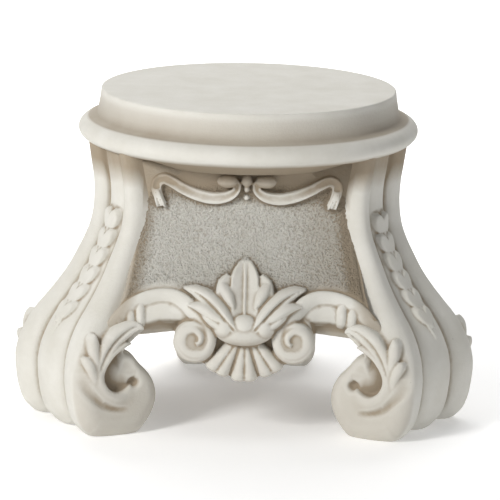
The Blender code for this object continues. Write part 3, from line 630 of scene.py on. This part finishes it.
def new_mesh(name, points, faces):
    mesh = bpy.data.meshes.new(name)
    mesh.vertices.add(len(points))
    mesh.vertices.foreach_set("co", np.ascontiguousarray(points, np.float32).ravel())
    mesh.loops.add(3 * len(faces))
    mesh.loops.foreach_set("vertex_index", np.ascontiguousarray(faces, np.int32).ravel())
    mesh.polygons.add(len(faces))
    mesh.polygons.foreach_set("loop_start", np.arange(0, 3 * len(faces), 3, dtype=np.int32))
    mesh.update(calc_edges=True)
    mesh.validate()
    return mesh


def mesh_arrays(mesh):
    mesh.calc_loop_triangles()
    points = np.empty(3 * len(mesh.vertices), np.float32)
    mesh.vertices.foreach_get("co", points)
    faces = np.empty(3 * len(mesh.loop_triangles), np.int32)
    mesh.loop_triangles.foreach_get("vertices", faces)
    return points.reshape(-1, 3).astype(float), faces.reshape(-1, 3)


def fused(name, shapes, grain, triangles, smooth=2):
    """The shapes run together on a grid of the given grain, eased, and thinned to so many triangles."""
    points, faces, start = [], [], 0
    for p, f in shapes:
        points.append(p)
        faces.append(f + start)
        start += len(p)
    obj = bpy.data.objects.new(name, new_mesh(name, np.concatenate(points) * MM, np.concatenate(faces)))
    bpy.context.scene.collection.objects.link(obj)
    remesh = obj.modifiers.new("fused", "REMESH")
    remesh.mode = "VOXEL"
    remesh.voxel_size = grain * MM
    ease = obj.modifiers.new("eased", "SMOOTH")
    ease.factor = 0.5
    ease.iterations = smooth
    count = 2 * len(obj.evaluated_get(bpy.context.evaluated_depsgraph_get()).data.polygons)
    if count > triangles:
        thin = obj.modifiers.new("thinned", "DECIMATE")
        thin.ratio = triangles / count
        thin.use_collapse_triangulate = True
    mesh = bpy.data.meshes.new_from_object(obj.evaluated_get(bpy.context.evaluated_depsgraph_get()))
    arrays = mesh_arrays(mesh)
    bpy.data.objects.remove(obj)
    bpy.data.meshes.remove(mesh)
    return arrays


def hollows(points, faces, rounds):
    """Depth of each point under its eased surroundings in millimetres (edges: negative), and its normal."""
    edges = np.concatenate([faces[:, [0, 1]], faces[:, [1, 2]], faces[:, [2, 0]]])
    a, b = np.unique(np.sort(edges, axis=1), axis=0).T
    count = np.bincount(a, minlength=len(points)) + np.bincount(b, minlength=len(points))
    eased = points.copy()
    for _ in range(rounds):
        total = np.stack([
            np.bincount(a, eased[b, k], len(points)) + np.bincount(b, eased[a, k], len(points))
            for k in range(3)
        ], axis=1)
        eased = 0.3 * eased + 0.7 * total / np.maximum(count, 1)[:, None]
    corners = points[faces]
    normal = np.cross(corners[:, 1] - corners[:, 0], corners[:, 2] - corners[:, 0])
    normals = np.stack([
        sum(np.bincount(faces[:, c], normal[:, k], len(points)) for c in range(3)) for k in range(3)
    ], axis=1)
    normals /= np.maximum(np.linalg.norm(normals, axis=1), 1e-12)[:, None]
    return ((eased - points) * normals).sum(axis=1) / MM, normals


def finished(name, points, faces, attributes, material, turn=0.0):
    """A piece of the plinth, its points turned about the axis and put in place, with its stone."""
    a = math.radians(turn)
    x, y, z = points.T
    turned_x = x * math.cos(a) - y * math.sin(a)
    turned_y = x * math.sin(a) + y * math.cos(a) + AXIS_Y
    mesh = new_mesh(name, np.stack([turned_x, turned_y, z], axis=1), faces)
    for key, values in attributes.items():
        layer = mesh.attributes.new(key, "FLOAT", "POINT")
        layer.data.foreach_set("value", np.ascontiguousarray(values, np.float32))
    mesh.shade_smooth()
    mesh.materials.append(material)
    obj = bpy.data.objects.new(name, mesh)
    bpy.context.scene.collection.objects.link(obj)
    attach(obj, "root")
    return obj


# Stone

class Nodes:
    """Adds nodes to a material and links them by name."""

    def __init__(self, name):
        self.material = bpy.data.materials.new(name)
        self.material.use_nodes = True
        self.tree = self.material.node_tree
        self.shader = self.tree.nodes["Principled BSDF"]

    def add(self, kind, settings=(), **inputs):
        node = self.tree.nodes.new(kind)
        for key, value in dict(settings).items():
            setattr(node, key, value)
        for key, value in inputs.items():
            socket = node.inputs[int(key[1:])] if key[0] == "i" and key[1:].isdigit() else node.inputs[key]
            if isinstance(value, bpy.types.NodeSocket):
                self.tree.links.new(value, socket)
            else:
                socket.default_value = value
        return node

    def ramp(self, value, stops):
        node = self.add("ShaderNodeValToRGB", Fac=value)
        elements = node.color_ramp.elements
        while len(elements) < len(stops):
            elements.new(0.5)
        for element, (place, colour) in zip(elements, stops):
            element.position = place
            element.color = (colour, colour, colour, 1) if isinstance(colour, float) else (*colour, 1)
        return node.outputs["Color"]

    def mix(self, share, first, second):
        node = self.tree.nodes.new("ShaderNodeMix")
        node.data_type = "RGBA"
        for socket, value in ((node.inputs[0], share), (node.inputs[6], first), (node.inputs[7], second)):
            if isinstance(value, bpy.types.NodeSocket):
                self.tree.links.new(value, socket)
            elif isinstance(value, tuple):
                socket.default_value = (*value, 1)
            else:
                socket.default_value = value
        return node.outputs[2]

    def math(self, kind, a, b=0.0):
        return self.add("ShaderNodeMath", {"operation": kind}, i0=a, i1=b).outputs[0]


IVORY = (0.620, 0.602, 0.545)
CHALK = (0.690, 0.676, 0.630)
# Brown of the antique tint, also mixed in as painted shade.
WASH_AND_SHADE = (0.270, 0.205, 0.130)
SPECK = (0.14, 0.11, 0.08)


def cast_stone():
    """Ivory cast stone: a cloudy pale ground, a brown tint with painted shade in hollows and pits, dark
    specks, fine grain.
    """
    n = Nodes("cast_stone")
    place = n.add("ShaderNodeTexCoord").outputs["Object"]
    hollow = n.add("ShaderNodeAttribute", {"attribute_name": "hollow"}).outputs["Fac"]
    wash_and_shade = n.add("ShaderNodeAttribute", {"attribute_name": "wash_and_shade"}).outputs["Fac"]
    stipple = n.add("ShaderNodeAttribute", {"attribute_name": "stipple"}).outputs["Fac"]
    cloud = n.add("ShaderNodeTexNoise", Vector=place, Scale=28.0, Detail=5.0, Roughness=0.6).outputs["Fac"]
    patch = n.add("ShaderNodeTexNoise", Vector=place, Scale=9.0, Detail=3.0, Roughness=0.5).outputs["Fac"]
    grain = n.add("ShaderNodeTexNoise", Vector=place, Scale=900.0, Detail=3.0, Roughness=0.65).outputs["Fac"]
    pores = n.add("ShaderNodeTexNoise", Vector=place, Scale=330.0, Detail=2.0, Roughness=0.5).outputs["Fac"]

    ground = n.mix(n.ramp(cloud, [(0.3, 0.0), (0.7, 1.0)]), IVORY, CHALK)
    dirt_and_shade = n.math("MULTIPLY_ADD", cloud, 0.5)
    dirt_and_shade.node.inputs[2].default_value = -0.25
    hammered = n.add("ShaderNodeTexNoise", Vector=place, Scale=520.0, Detail=3.0, Roughness=0.6)
    hammered = hammered.outputs["Fac"]
    # Brown tint and painted shade in the stipple's pits, where the hammered noise is low.
    pits = n.math("MULTIPLY", n.math("MULTIPLY", n.ramp(hammered, [(0.34, 1.0), (0.52, 0.0)]), stipple), 0.45)
    # Painted shade with a brown tint, plus cloudy dirt: wash, hollow, cloud and pits darken the ground
    # towards the brown.
    dirt_and_shade = n.math("ADD", n.math("ADD", n.math("ADD", wash_and_shade, hollow), dirt_and_shade), pits)
    dirt_and_shade = n.ramp(dirt_and_shade, [(0.12, 0.0), (0.95, 1.0)])
    stained_and_shaded = n.mix(n.math("MULTIPLY", dirt_and_shade, 0.85), ground, WASH_AND_SHADE)
    specks = n.add("ShaderNodeTexVoronoi", Vector=place, Scale=150.0, Randomness=1.0)
    spot = n.ramp(specks.outputs["Distance"], [(0.0, 1.0), (0.10, 0.0)])
    rare = n.ramp(specks.outputs["Color"], [(0.86, 0.0), (0.92, 1.0)])
    dotted = n.mix(n.math("MULTIPLY", n.math("MULTIPLY", spot, rare), 0.55), stained_and_shaded, SPECK)
    n.tree.links.new(dotted, n.shader.inputs["Base Color"])

    rough = n.add("ShaderNodeMapRange", Value=patch)
    rough.inputs["To Min"].default_value = 0.74
    rough.inputs["To Max"].default_value = 0.92
    n.tree.links.new(rough.outputs["Result"], n.shader.inputs["Roughness"])
    n.shader.inputs["Specular IOR Level"].default_value = 0.3

    fine = n.add("ShaderNodeBump", Strength=0.35, Distance=0.0004, Height=grain)
    soft = n.add("ShaderNodeBump", Strength=0.3, Distance=0.0008, Height=pores, Normal=fine.outputs["Normal"])
    pitted = n.math("MULTIPLY", hammered, stipple)
    relief = soft.outputs["Normal"]
    coarse = n.add("ShaderNodeBump", Strength=1.0, Distance=0.0045, Height=pitted, Normal=relief)
    n.tree.links.new(coarse.outputs["Normal"], n.shader.inputs["Normal"])
    return n.material


def stone_attributes(points, faces, wash_and_shade, stipple=0.0, dirt_and_shade=1.0):
    """Hollow, wash and stipple of every point, and the normals; hollow and wash are painted shade with a
    brown tint.

    The dirt argument scales the hollow. Painted shade on undersides, and darkening towards the bottom, add to
    the wash given.
    """
    tight, normals = hollows(points, faces, 5)
    broad, _ = hollows(points, faces, 60)
    # Painted shade in hollows and creases, with a brown tint; convex edges come out a little lighter.
    hollow = dirt_and_shade * (np.clip(tight * 1.9, -0.15, 0.7) + np.clip(broad * 0.3, -0.1, 0.6))
    z = points[:, 2] / MM / RISE
    # Painted shade on faces turned downwards, and darker towards the bottom.
    under = np.clip(-normals[:, 2] - 0.25, 0, 1) * ramp(z, 30, 80)
    wash_and_shade = wash_and_shade + 0.55 * under + 0.12 * ramp(z, 70, 10)
    return {"hollow": hollow, "wash_and_shade": wash_and_shade, "stipple": np.broadcast_to(stipple, z.shape)}, normals


def panel_tones(points):
    """A panel's wash and stipple.

    The wash is painted shade with a brown tint under the torus, along both legs and on the arch's lower edge,
    and painted shade alone over the field towards its right end; it is darker on the shell and the curls too.
    The stipple covers the bare field.
    """
    x, y = points[:, 0] / MM, points[:, 1] / MM
    z = points[:, 2] / MM / RISE
    over, foot = z - table(np.abs(x), ARCH_CREST), z - table(np.abs(x), ARCH_EDGE)
    proud = on_field(x, z)[:, 1] - y
    rim = field_half(z) - np.abs(x)
    # Painted shade with a brown tint under the torus, along both legs and on the arch's lower edge.
    wash_and_shade = 1.1 * ramp(z, 194, 224) + 0.95 * ramp(rim, 22, 3)
    wash_and_shade = wash_and_shade + 0.55 * ramp(foot, 11, 1) * ramp(np.abs(x), 63, 70)
    # Painted shade over the field towards its right end.
    wash_and_shade = wash_and_shade + 0.45 * ramp(x, 20, 84) * ramp(proud, 3, 1) * (over > 0)
    # Darker on the shell and the curls.
    wash_and_shade = wash_and_shade + 0.45 * ramp(z, 116, 96) * ramp(np.abs(x), 70, 63)
    stipple = (1 - ramp(proud, 1.5, 3)) * ramp(proud, -2.5, -1) * ramp(over, 3, 9)
    stipple = stipple * ramp(z, 216, 206) * ramp(rim, 2, 5)
    return wash_and_shade, stipple


def leg_tones(points):
    """A leg's wash, painted shade with a brown tint, from u, v, z: under the torus, in the coil and the
    valleys, on inner and side faces.
    """
    u, v, z = points[:, 0] / MM, points[:, 1] / MM, points[:, 2] / MM
    sunk = np.clip((-face_lift(u, z) - 2.5) / 6, 0, 1)
    inner = ramp(u, 134, 108) * ramp(z, 90, 70) + ramp(u, 126, 112) * ramp(z, 22, 4) * 0.5
    crease = ramp(u, 132, 122) * ramp(z, 120, 140) * ramp(np.abs(v), 30, 36)
    rows = np.array(LEG_UPPER, float)[::-1]
    half = NECK_HALF + np.interp(z, rows[:, 1], rows[:, 4]) * (FOOT_HALF - NECK_HALF)
    groove = bell(np.abs(v) / half - 0.41, 0.07) * ramp(u, 120, 134)
    face = ramp(np.abs(v), 50, 58) * ramp(z, 96, 84)
    # Painted shade with a brown tint under the torus, in the coil's recess, on the scroll's inner side, in
    # the crease by the panel, in the valleys and on the scroll's side faces.
    wash_and_shade = 1.1 * ramp(z, 200, 230) + sunk * (np.abs(v) > 48) * (z < 90)
    return wash_and_shade + 0.3 * inner + 0.6 * crease + 0.3 * groove + 0.36 * face


def lumps(points, size, seed):
    """Smooth seeded lumps: values on a cubic lattice of the given size, blended with smooth steps."""
    lattice = np.random.default_rng(seed).random((32, 32, 32))
    p = points / (size * MM)
    cell = np.floor(p).astype(int)
    f = p - cell
    f = f * f * (3 - 2 * f)
    total = np.zeros(len(points))
    for dx in (0, 1):
        for dy in (0, 1):
            for dz in (0, 1):
                share = np.abs(1 - dx - f[:, 0]) * np.abs(1 - dy - f[:, 1]) * np.abs(1 - dz - f[:, 2])
                x, y, z = (cell[:, 0] + dx) % 32, (cell[:, 1] + dy) % 32, (cell[:, 2] + dz) % 32
                total += share * lattice[x, y, z]
    return total


def top_profile():
    """Disc, drum, torus and the cove under it, from the axis at the top to the axis at the bottom."""
    rows = [(0, 282), (60, 282), (120, 282), (130.6, 282)]
    rim = np.radians(np.linspace(15, 90, 8))
    rows += [(130.9 + 1.6 * math.sin(a), 280.4 + 1.6 * math.cos(a)) for a in rim]
    rows += [(133.2, 274), (134.6, 266), (136.0, 258.6)]
    torus = np.radians(np.linspace(68, -78, 46))
    rows += [(137.0 + 15.5 * math.cos(a), 247.0 + 10.5 * math.sin(a)) for a in torus]
    rows += [(138.0, 236.2), (134.5, 235.2), (129, 233.6), (122, 230.5), (114, 226), (60, 224), (0, 224)]
    return rows


def core_shape():
    """The body behind the panels: a six-cornered ring at each level, flat underneath."""
    rings = []
    for z in (98.0, 104.0, 121.0, 130.0, 150.0, 180.0, 238.0):
        depth = min(field_depth(z) - 8, 108 + 0.02 * z)
        half = field_half(z) - 4
        ring = []
        for turn in (0, SIDE_TURN, 2 * SIDE_TURN):
            a = math.radians(turn)
            for x in np.linspace(-half, half, 9):
                ring.append((x * math.cos(a) + depth * math.sin(a), x * math.sin(a) - depth * math.cos(a), z))
        rings.append(ring)
    return tube(rings)


def raised(points):
    """Millimetres to metres, with the drawn heights stretched to the real one."""
    return points * (MM, MM, MM * RISE)


def main():
    stone = cast_stone()
    points, faces = turned(top_profile(), 256)
    # Painted shade with a brown tint under the torus.
    under = ramp(points[:, 2], 243, 233)
    points = raised(points)
    tones, _ = stone_attributes(points, faces, under, dirt_and_shade=0.55)
    pieces = [finished("round_top", points, faces, tones, stone)]
    points, faces = core_shape()
    none = np.zeros(len(points))
    # The core behind the panels is darkened all over: painted shade with the brown tint.
    tones = {"hollow": none, "wash_and_shade": none + 0.9, "stipple": none}
    pieces.append(finished("body_core", raised(points), faces, tones, stone))

    points, faces = fused("panel", panel_shapes(), GRAIN, FUSED_TRIANGLES)
    points = points * (1, 1, RISE)
    wash_and_shade, stipple = panel_tones(points)
    tones, normals = stone_attributes(points, faces, wash_and_shade, stipple)
    grit = (lumps(points, 1.9, 3) - 0.5) * 1.5 + (lumps(points, 3.5, 5) - 0.5) * 0.6
    points = points + normals * (grit * MM * stipple)[:, None]
    for i, name in enumerate(("front", "right", "left")):
        pieces.append(finished(f"panel_{name}", points, faces, tones, stone, SIDE_TURN * i))

    points, faces = fused("leg", leg_shapes(), GRAIN, FUSED_TRIANGLES)
    wash_and_shade = leg_tones(points)
    # Painted hollow shade, twice as strong down the middle of the leg among the husks, above the scroll.
    dirt_and_shade = 0.6 + 0.6 * (np.abs(points[:, 1]) < 15 * MM) * (points[:, 2] > 75 * MM)
    points = leg_to_plinth(points, LEG_TURN) * (1, 1, RISE)
    points[points[:, 2] < 0, 2] = 0
    tones, _ = stone_attributes(points, faces, wash_and_shade, dirt_and_shade=dirt_and_shade)
    for i, name in enumerate(("right", "back", "left")):
        pieces.append(finished(f"leg_{name}", points, faces, tones, stone, SIDE_TURN * i))

    for piece in pieces:
        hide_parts("rococo_plinth")


# Stage: camera, lights and floor

AZIMUTH = 0.21
ELEVATION = 12.14
DISTANCE = 4.162
FOCAL_PIXELS = 4599.0
CENTRE_PIXEL = (246.21, 250.86)
ROLL = 1.0
PICTURE = 500  # pixels, both ways
SENSOR = 36.0  # millimetres


def aim(obj, place, target, roll=0.0):
    back = (Vector(place) - Vector(target)).normalized()
    turn = back.to_track_quat("Z", "Y").to_matrix() @ Matrix.Rotation(math.radians(roll), 3, "Z")
    obj.matrix_world = Matrix.Translation(place) @ turn.to_4x4()


def camera():
    a, e = math.radians(AZIMUTH), math.radians(ELEVATION)
    target = Vector((0, AXIS_Y, 0.14))
    back = Vector((math.sin(a) * math.cos(e), -math.cos(a) * math.cos(e), math.sin(e)))
    data = bpy.data.cameras.new("camera")
    data.sensor_width = SENSOR
    data.lens = FOCAL_PIXELS / PICTURE * SENSOR
    data.shift_x = (PICTURE / 2 - CENTRE_PIXEL[0]) / PICTURE
    data.shift_y = (CENTRE_PIXEL[1] - PICTURE / 2) / PICTURE
    data.clip_end = 20
    obj = bpy.data.objects.new("camera", data)
    bpy.context.scene.collection.objects.link(obj)
    aim(obj, target + back * DISTANCE, target, ROLL)
    bpy.context.scene.camera = obj


def area_light(name, place, target, size, power, colour=(1, 1, 1)):
    data = bpy.data.lights.new(name, "AREA")
    data.size = size
    data.energy = power
    data.color = colour
    obj = bpy.data.objects.new(name, data)
    bpy.context.scene.collection.objects.link(obj)
    aim(obj, place, target)


def stage():
    middle = (0, AXIS_Y, 0.15)
    area_light("key", (-1.45, -1.75, 1.3), middle, 0.6, 41, (1.0, 0.99, 0.97))
    area_light("fill", (1.9, -1.5, 0.9), middle, 1.2, 6, (0.97, 0.985, 1.0))
    area_light("above", (-0.3, -0.2, 2.2), middle, 1.5, 8)
    area_light("backdrop", (0.0, 2.6, 1.9), (0.0, 2.6, 0.0), 3.0, 100)
    world = bpy.data.worlds.new("studio")
    world.use_nodes = True
    world.node_tree.nodes["Background"].inputs["Color"].default_value = (1, 1, 1, 1)
    world.node_tree.nodes["Background"].inputs["Strength"].default_value = 0.14
    bpy.context.scene.world = world
    bpy.context.scene.view_settings.view_transform = "Standard"
    size = 6.0
    corners = [(-size, -size, 0), (size, -size, 0), (size, size, 0), (-size, size, 0)]
    mesh = bpy.data.meshes.new("floor")
    mesh.from_pydata(corners, [], [(0, 1, 2, 3)])
    floor = bpy.data.objects.new("floor", mesh)
    bpy.context.scene.collection.objects.link(floor)
    paint = bpy.data.materials.new("floor_paint")
    paint.use_nodes = True
    shader = paint.node_tree.nodes["Principled BSDF"]
    shader.inputs["Base Color"].default_value = (0.95, 0.95, 0.95, 1)
    shader.inputs["Roughness"].default_value = 0.9
    shader.inputs["Emission Color"].default_value = (1, 1, 1, 1)
    shader.inputs["Emission Strength"].default_value = 0.25
    mesh.materials.append(paint)


camera()
stage()
main()
